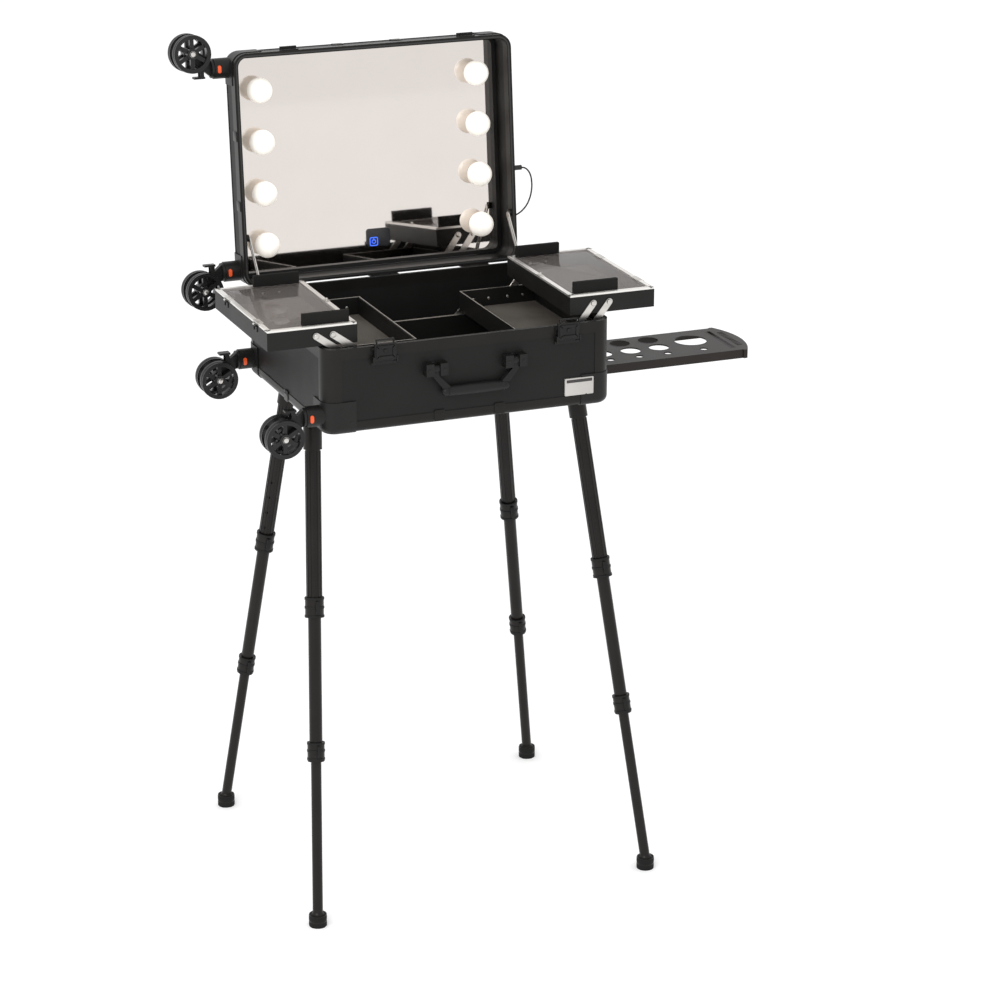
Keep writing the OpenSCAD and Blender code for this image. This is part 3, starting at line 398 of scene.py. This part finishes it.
# ---- Mirror and bulbs ----
# A silvered glass behind a thin black bezel fills the lid. Eight frosted bulbs in short white sockets
# stand on it in two columns, and a touch plate with a lit blue sign switches them.
silvered = finish("silvered_glass", (0.745, 0.694, 0.658), 0.03, metallic=1.0, mottle=0.01)
clad(silvered, "mirror")
mirror_face = 64
on_mirror = facing((0, mirror_face, case_d / 2), FRONT)
bezel = bmesh.new()
plate(bezel, 561, 441, 0.05, 18, on_mirror, open_by=8)
piece("mirror_bezel", bezel, guard_black, "lid", LID)

frosted = finish("frosted_bulb", (1.0, 0.97, 0.92), 0.35, mottle=0.01)
glow = frosted.node_tree.nodes["Principled BSDF"].inputs
glow["Emission Color"].default_value = (1.0, 0.93, 0.82, 1)
glow["Emission Strength"].default_value = 0.38
clad(frosted, "bulbs")
porcelain = finish("white_socket", (0.75, 0.72, 0.68), 0.3, mottle=0.04)
sockets = bmesh.new()
bulb_inset, bulb_first, bulb_pitch, bulb_count = 62, 74, 102, 4
bulb_rows = [bulb_first + bulb_pitch * k for k in range(bulb_count)]
for x in (-1, 1):
    for v in bulb_rows:
        turned(sockets, [
            (0, 0), (17, 0), (17, 2), (15.5, 3), (14.2, 7), (13.8, 9.5), (0, 9.5),
        ], facing((x * (case_w / 2 - bulb_inset), mirror_face, v), FRONT), 32)
piece("bulb_sockets", sockets, porcelain, "lid", LID)

touch_black = finish("touch_glass", (0.012, 0.012, 0.015), 0.12, specular=0.6, mottle=0.1)
clad(touch_black, "lid_electrics")
lit_blue = finish("lit_blue", (0.03, 0.09, 0.6), 0.3, mottle=0.05)
glow = lit_blue.node_tree.nodes["Principled BSDF"].inputs
glow["Emission Color"].default_value = (0.05, 0.16, 1.0, 1)
glow["Emission Strength"].default_value = 1.1
touch_sign = bmesh.new()
sign_place = facing((4, 62, 56), FRONT)
plate(touch_sign, 18, 18, 0.25, 4, sign_place, open_by=2)
ring(touch_sign, 3.0, 4.6, 0.25, sign_place, 0.05, 24)
plate(touch_sign, 1.6, 5, 0.3, 0.5, sign_place @ Matrix.Translation((0, 4, 0)))
piece("touch_sign", touch_sign, lit_blue, "lid", LID)

socket_face = case_w / 2 + 0.05
outlets = bmesh.new()
outlet_rise, rocker_rise = 150, 136
outlet = facing((socket_face, jack_depth, outlet_rise), RIGHT)
ring(outlets, 9, 12.5, 1.6, outlet, 0.5, 32)
for step in (-4, 4):
    rivet(outlets, outlet @ Matrix.Translation((step, 0, 0)), 2, 0.6)
rocker = facing((socket_face, jack_depth, rocker_rise), RIGHT)
plate(outlets, 14, 6, 1.8, 1, rocker, edge=0.6)
piece("lid_outlets", outlets, guard_black, "lid", LID)


# ---- Trays ----
# Two shallow trays a side, folded from black sheet, with a mat on the floor. A bright strip on each rim, and one
# on the partition, is a painted highlight.
# Rivets hold the arms to their ends.
tray_black = finish(
    "tray_sheet", (0.0085, 0.0082, 0.0076), 0.45, specular=0.22, grain=1100, depth=0.0001, mottle=0.15
)
# A bright metallic colour for thin strips laid on the rims: a painted highlight, not a real edge trim.
rim_highlight_paint = finish(
    "rim_highlight_paint", (0.42, 0.40, 0.37), 0.32, metallic=0.9, grain=400, depth=0.00003, mottle=0.1
)
tray_mat = finish("tray_mat", (0.105, 0.094, 0.08), 0.75, specular=0.3, grain=900, depth=0.0002, mottle=0.2)
dark_mat = finish(
    "dark_tray_mat", (0.15, 0.13, 0.12), 0.75, specular=0.3, grain=900, depth=0.0002, mottle=0.2
)
brushed = finish(
    "brushed_metal", (0.62, 0.60, 0.57), 0.3, metallic=1.0, grain=260, depth=0.00003, mottle=0.08,
    stretch=(1, 1, 9)
)
clad(tray_black, "partition", "lower_tray_left", "lower_tray_right", "upper_tray_left", "upper_tray_right")

# The bright strip along the partition's top is a painted highlight.
partition_highlight = bmesh.new()
plate(partition_highlight, 556, 6.4, 0.8, 0.6, Matrix.Translation((0, 106, 104)), edge=0.2)
piece("partition_highlight", partition_highlight, rim_highlight_paint, "base")

tray_front, tray_long, wall, upper_w, arm_gap = -205, 314, 4, 176, 33
lining_play, lining_t = 9, 0.8
tray_middle = tray_front + tray_long / 2
reach = {"left": -1, "right": 1}


def extent(node):
    """A node's box in the case's frame, in millimetres."""
    low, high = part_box(node)
    return CASE.inverted() @ Vector(low), CASE.inverted() @ Vector(high)


for side, sign in reach.items():
    low, high = extent(f"lower_tray_{side}")
    width, x = high.x - low.x, (low.x + high.x) / 2
    # A bright hoop on each lower tray's rim: a painted highlight.
    rim_highlight_strip = bmesh.new()
    on_rim = Matrix.Translation((x, tray_middle, high.z))
    plate(rim_highlight_strip, width, tray_long, 0.5, 0.8, on_rim, edge=0.15, open_by=2)
    piece(f"tray_rim_highlight_{side}", rim_highlight_strip, rim_highlight_paint, f"lower_tray_{side}")
    lining = bmesh.new()
    on_floor = Matrix.Translation((x, tray_middle, low.z + wall + 0.05))
    plate(lining, width - lining_play, tray_long - lining_play, lining_t, 1, on_floor)
    piece(f"tray_lining_{side}", lining, tray_mat, f"lower_tray_{side}")
    low, high = extent(f"upper_tray_{side}")
    outer_edge = abs(pose_of(f"tray_lid_{side}_hinge").x) - 2.2
    lining = bmesh.new()
    on_floor = Matrix.Translation((sign * (outer_edge - upper_w / 2), tray_middle, low.z + wall + 0.05))
    plate(lining, upper_w - lining_play, tray_long - lining_play, lining_t, 1, on_floor)
    piece(f"top_tray_lining_{side}", lining, dark_mat, f"upper_tray_{side}")

# Rivet heads at the arms' ends, outside and inside the trays' walls
cap, stud, cap_out = (5.0, 0.8), (3.2, 1.2), 4.1
for side in reach:
    for tray, arm in (("lower", "lower_arm"), ("lower", "upper_arm"), ("upper", "upper_arm")):
        heads = bmesh.new()
        for kind in ("a", "b"):
            if (tray, arm) == ("lower", "upper_arm"):
                spot = pose_of(f"upper_arm_{kind}_{side}_pivot")
            else:
                spot = pose_of(f"{tray}_tray_{side}_pivot")
                if kind == "b":
                    spot.x += reach[side] * arm_gap
            rivet(heads, facing((spot.x, tray_front - cap_out, spot.z), FRONT), *cap)
            rivet(heads, facing((spot.x, tray_front + tray_long + cap_out, spot.z), BACK), *cap)
            rivet(heads, facing((spot.x, tray_front + wall, spot.z), BACK), *stud)
            rivet(heads, facing((spot.x, tray_front + tray_long - wall, spot.z), FRONT), *stud)
        piece(f"{tray}_{arm}_rivets_{side}", heads, brushed, f"{tray}_tray_{side}")


# ---- Trays' lids ----
# A silver extrusion round a clear sheet, hinged on the outer edge, with a spring catch on the inner one.
# Two blocks of black foam keep the case's contents from rattling when it is shut.
clear_sheet = finish("clear_sheet", (0.26, 0.235, 0.22), 0.03, specular=1.0, mottle=0.01)
clear_sheet.node_tree.nodes["Principled BSDF"].inputs["Alpha"].default_value = 0.35
silver_rim = finish(
    "silver_extrusion", (0.80, 0.78, 0.75), 0.3, metallic=0.75, grain=500, depth=0.00003, mottle=0.05
)
black_foam = finish(
    "black_foam", (0.011, 0.0105, 0.01), 0.8, specular=0.15, grain=1500, depth=0.0003, mottle=0.2
)
rim_h, foam_in, foam_end = 3.8, 58, 14.5
for side, sign in reach.items():
    hinge = pose_of(f"tray_lid_{side}_hinge")
    low, high = extent(f"upper_tray_{side}")
    inner = low.x if sign > 0 else high.x
    x = inner + sign * upper_w / 2
    z = hinge.z + 0.15
    rim = bmesh.new()
    plate(rim, upper_w - 1, tray_long, rim_h, 1, Matrix.Translation((x, tray_middle, z)), edge=0.5, open_by=9)
    bead = Matrix.Translation((x, tray_middle, z + 3.75))
    plate(rim, upper_w - 5, tray_long - 5, 0.35, 1, bead, edge=0.15, open_by=1.2)
    made = piece(f"tray_lid_rim_{side}", rim, silver_rim, f"tray_lid_{side}")
    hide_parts(f"tray_lid_{side}")
    sheet = bmesh.new()
    plate(sheet, upper_w - 16, tray_long - 16, 2, 1, Matrix.Translation((x, tray_middle, z + 1.4)), edge=0.1)
    piece(f"tray_lid_sheet_{side}", sheet, clear_sheet, f"tray_lid_{side}")
    for end, y in (("front", tray_front + foam_end), ("rear", tray_front + tray_long - foam_end)):
        foam = bmesh.new()
        block(foam, (92, 9, 22.6), Matrix.Translation((inner + sign * foam_in, y, z + 14.7)), 1.2)
        made = piece(f"foam_{end}_{side}", foam, black_foam, f"tray_lid_{side}")
    fittings = bmesh.new()
    for share in (0.22, 0.78):
        y = tray_front + share * tray_long
        plate(fittings, 12, 30, 0.7, 1, Matrix.Translation((hinge.x - sign * 8.5, y, z + rim_h)), edge=0.2)
        along_pin = Matrix.Translation((hinge.x, y, hinge.z)) @ Matrix.Rotation(math.pi / 2, 4, "X")
        turned(fittings, [(0, -4.3), (2.0, -4.3), (2.0, 4.3), (0, 4.3)], along_pin, 16)
        for step in (-9, 9):
            rivet(fittings, Matrix.Translation((hinge.x - sign * 9.5, y + step, z + 4.5)), 2, 0.7)
    plate(fittings, 10, 18, 0.8, 2, Matrix.Translation((inner + sign * 5, tray_middle, z + rim_h)), edge=0.3)
    on_catch = Matrix.Translation((inner + sign * 5, tray_middle, z + 4.5))
    turned(fittings, [(0, 5), (2.2, 4.6), (2.6, 3.4), (1.8, 2.2), (1.8, 0), (0, 0)], on_catch, 20)
    piece(f"tray_lid_fittings_{side}", fittings, brushed, f"tray_lid_{side}")


# ---- Arms and stays ----
# Flat bars of brushed bright steel with round ends, punched and riveted.
arms = [f"{level}_arm_{kind}_{side}" for level in ("lower", "upper") for kind in "ab" for side in reach]
clad(brushed, *arms, "lid_stay_left", "lid_stay_right")


# ---- Tool shelf ----
# A moulded brown-black shelf that slides out of the base, with a raised lip round each tool hole and
# a ribbed grip at its end.
shelf_brown = finish(
    "shelf_moulding", (0.016, 0.0122, 0.0105), 0.42, specular=0.25, grain=1300, depth=0.0001, mottle=0.15
)
clad(shelf_brown, "tool_shelf")
shelf_low, shelf_high = extent("tool_shelf")
shelf_middle = (shelf_low.y + shelf_high.y) / 2
lip_h, lip_z, slot_w, slot_l, slot_in = 0.25, shelf_high.z - 0.02, 8, 118, 42
rib_in, rib_pitch = 22, 9
lips = bmesh.new()
record = frame["record"]
holes = [(Vector(m["pos_m"]), m["dims"]["r_mm"]) for m in record["mounts"] if m["kind"] == "bore"]
for opening in record["physics"]["openings"]:
    if "_hole_" in opening["name"]:
        low, high = (Vector(corner) for corner in opening["box_m"])
        half_side = (high.x - low.x) * 500 + 0.3
        holes.append(((low + high) / 2, half_side * math.sqrt(2)))
for spot, radius in holes:
    spot = CASE.inverted() @ spot
    ring(lips, radius, radius + 2.2, lip_h, Matrix.Translation((spot.x, spot.y, lip_z)), 0.1)
round_slot = Matrix.Translation((shelf_high.x - slot_in, shelf_middle, lip_z))
plate(lips, slot_w + 5, slot_l + 5, lip_h, 4, round_slot, edge=0.1, open_by=2.5)
piece("shelf_lips", lips, shelf_brown, "tool_shelf")
grip_ribs = bmesh.new()
for step in range(-5, 6):
    on_grip = Matrix.Translation((shelf_high.x - rib_in, shelf_middle + rib_pitch * step, shelf_high.z + 0.2))
    block(grip_ribs, (12, 2.4, 1.0), on_grip, 0.4)
piece("shelf_grip_ribs", grip_ribs, shelf_brown, "tool_shelf")


# ---- Carry handles ----
# A soft moulded grip on two arms that hang from screwed brackets, one on the front and one on the right.
handle_black = finish(
    "handle_moulding", (0.0085, 0.0082, 0.008), 0.48, specular=0.25, grain=1200, depth=0.00015, mottle=0.15
)
clad(handle_black, "front_handle", "side_handle")
bracket_black = finish(
    "black_zinc", (0.008, 0.0078, 0.0075), 0.35, specular=0.25, grain=500, depth=0.00005, mottle=0.2
)
clad(bracket_black, "base_fittings", "lid_fittings", "latch_left", "latch_right")
handle_x, grip_drop, bracket_x, screw_x, bracket_out = 7, 46, 80, 15, 9
for name, out, along in (("front_handle", FRONT, RIGHT), ("side_handle", RIGHT, BACK)):
    pivot = pose_of(f"{name}_pivot")
    if name == "front_handle":
        pivot.x = handle_x
    grip = bmesh.new()
    grip_place = facing(pivot - Vector((0, 0, grip_drop)), along)
    turned(grip, [
        (9.0, -57), (10.0, -56.5), (10.2, -54), (9.3, -53), (9.6, -40), (10.1, -15), (10.2, 0), (10.1, 15),
        (9.6, 40), (9.3, 53), (10.2, 54), (10.0, 56.5), (9.0, 57), (9.0, -57),
    ], grip_place, 32)
    piece(f"{name}_grip", grip, handle_black, name)
    screws = bmesh.new()
    for end in (-bracket_x, bracket_x):
        for step in (-screw_x, screw_x):
            spot = pivot + Vector(along) * (end + step) + Vector(out) * bracket_out
            rivet(screws, facing(spot, out), 3.4, 1.2)
    piece(f"{name}_screws", screws, bracket_black, "base")


# ---- Latches ----
# Black die-cast draw latches on the front: a ribbed lever with a hook bow, over a riveted plate.
for side in reach:
    pivot = pose_of(f"latch_{side}_pivot")
    lever = bmesh.new()
    face = facing((pivot.x, pivot.y - 4, pivot.z + 14.5), FRONT)
    plate(lever, 38, 26, 1.6, 3, face, edge=0.6, open_by=5)
    plate(lever, 22, 5, 2.4, 1.2, face @ Matrix.Translation((0, -10, 0)), edge=0.7)
    turned(lever, [(0, 2.6), (3.4, 2.5), (4, 1.8), (4, 0), (0, 0)], face @ Matrix.Translation((0, 2, 0)), 24)
    for step in (-1, 1):
        block(lever, (3, 3, 14), Matrix.Translation((pivot.x + step * 17, pivot.y - 1, pivot.z + 32)), 0.8)
    block(lever, (37, 4, 3.2), Matrix.Translation((pivot.x, pivot.y - 1, pivot.z + 38)), 1.2)
    piece(f"latch_lever_{side}", lever, bracket_black, f"latch_{side}")
    base_plate = bmesh.new()
    behind = facing((pivot.x, -case_d / 2 - 2, pivot.z + 6), FRONT)
    for step in (-1, 1):
        for height in (-14, 14):
            rivet(base_plate, behind @ Matrix.Translation((step * 20, height, 0)), 2.6, 1.0)
    piece(f"latch_rivets_{side}", base_plate, bracket_black, "base")


# ---- Legs ----
# Four telescopic legs of dark drawn tube. The upper tubes are fluted, locking collars clamp the joints,
# and each foot is a turned rubber cup.
leg_brown = finish(
    "dark_tube", (0.0095, 0.008, 0.0072), 0.34, metallic=0.2, specular=0.28, grain=500, depth=0.00004,
    mottle=0.2
)
leg_names = ("front_left", "front_right", "rear_left", "rear_right")
clad(leg_brown, "leg_uppers", *(f"leg_{part}_{leg}" for part in ("middle", "lower") for leg in leg_names))
collar_black = finish(
    "collar_moulding", (0.008, 0.0078, 0.0074), 0.5, specular=0.22, grain=1200, depth=0.0001, mottle=0.15
)
foot_rubber = finish(
    "foot_rubber", (0.008, 0.0077, 0.0074), 0.7, specular=0.2, grain=1500, depth=0.0002, mottle=0.2
)
under_case, ankle_up, flute_count = 960, 20, 12
for leg in leg_names:
    down = Vector(joints[f"leg_lower_{leg}_slide"]["axis"])
    across_x = -1 if "left" in leg else 1
    top = Vector((across_x * (270 if "front" in leg else 220), -98 if "front" in leg else 177, 0))
    leg_place = facing(top, -down, up=(0, 1, 0))
    flutes = bmesh.new()
    for k in range(flute_count):
        turn = Matrix.Rotation(math.radians(360 / flute_count * k + 15), 4, "Z")
        block(flutes, (1.4, 2.2, 280), leg_place @ turn @ Matrix.Translation((14.6, 0, -207)), 0.4)
    piece(f"leg_flutes_{leg}", flutes, leg_brown, "base")
    collars = bmesh.new()
    for height in (-349, -366, -383):
        ring(collars, 17.6, 19.0, 5, leg_place @ Matrix.Translation((0, 0, height - 2.5)), 0.8, 32)
    block(collars, (8, 10, 26), leg_place @ Matrix.Translation((0, -18.5, -366)), 1.5)
    piece(f"leg_collar_{leg}", collars, collar_black, "base")
    collars = bmesh.new()
    for height in (-629, -643, -659):
        ring(collars, 16.2, 17.4, 4.5, leg_place @ Matrix.Translation((0, 0, height - 2.2)), 0.8, 32)
    block(collars, (7, 9, 24), leg_place @ Matrix.Translation((0, -17, -644)), 1.5)
    piece(f"leg_lower_collar_{leg}", collars, collar_black, f"leg_middle_{leg}")
    foot = bmesh.new()
    ankle = top + down * ((under_case - ankle_up) / -down.z)
    turned(foot, [
        (0, 0.1), (15.5, 0.1), (17.4, 1.2), (17.5, 9), (16.9, 10), (16.9, 12), (17.5, 13), (17.5, 22),
        (16, 24.6), (13.4, 24.6), (13.4, 20), (0, 20),
    ], Matrix.Translation((ankle.x, ankle.y, -under_case)), 40)
    piece(f"foot_{leg}", foot, foot_rubber, f"leg_lower_{leg}")


# ---- Casters ----
# Twin-wheel casters on swivel forks: glossy black spoked wheels with soft tyres and a bright axle nut,
# a black brake pedal, and an orange release button in each socket.
wheel_gloss = finish(
    "wheel_moulding", (0.008, 0.008, 0.008), 0.22, specular=0.35, grain=400, depth=0.00004, mottle=0.15
)
tyre_rubber = finish(
    "soft_tyre", (0.009, 0.009, 0.009), 0.5, specular=0.22, grain=1100, depth=0.0001, mottle=0.2
)
fork_black = finish(
    "fork_moulding", (0.01, 0.0097, 0.0093), 0.4, specular=0.28, grain=900, depth=0.0001, mottle=0.15
)
signal_orange = finish(
    "orange_moulding", (0.80, 0.095, 0.018), 0.35, specular=0.5, grain=900, depth=0.00006, mottle=0.08
)
for caster in ("base_front", "base_rear", "lid_lower", "lid_upper"):
    clad(wheel_gloss, f"caster_wheels_{caster}")
    clad(fork_black, f"caster_fork_{caster}", f"caster_pedal_{caster}")
    clad(signal_orange, f"caster_button_{caster}")
    swivel, axle = joints[f"caster_swivel_{caster}"], joints[f"caster_axle_{caster}"]
    out, side = Vector(swivel["axis"]), Vector(axle["axis"])
    hub = Matrix.Translation(axle["pos_m"]) @ Matrix((side.cross(out), out, side)).transposed().to_4x4()
    hub = hub @ Matrix.Scale(0.001, 4)
    tyres, nuts = bmesh.new(), bmesh.new()
    for face in (-1, 1):
        flip = Matrix.Identity(4) if face > 0 else Matrix.Rotation(math.pi, 4, "X")
        turned(tyres, [
            (33.5, 8.2), (36.6, 9.2), (37.2, 11.5), (37.4, 15.8), (37.2, 20.1), (36.6, 22.4), (33.5, 23.4),
            (32.6, 22.6), (32.6, 9.0), (33.5, 8.2),
        ], flip, 48)
        turned(nuts, [
            (0, 26.6), (2.6, 26.5), (4.6, 25.8), (5.2, 24.4), (6.4, 24.2), (6.4, 23.5), (0, 23.5),
        ], flip, 24)
    piece(f"tyres_{caster}", tyres, tyre_rubber, f"caster_wheels_{caster}", hub)
    piece(f"axle_nuts_{caster}", nuts, brushed, f"caster_fork_{caster}", hub)
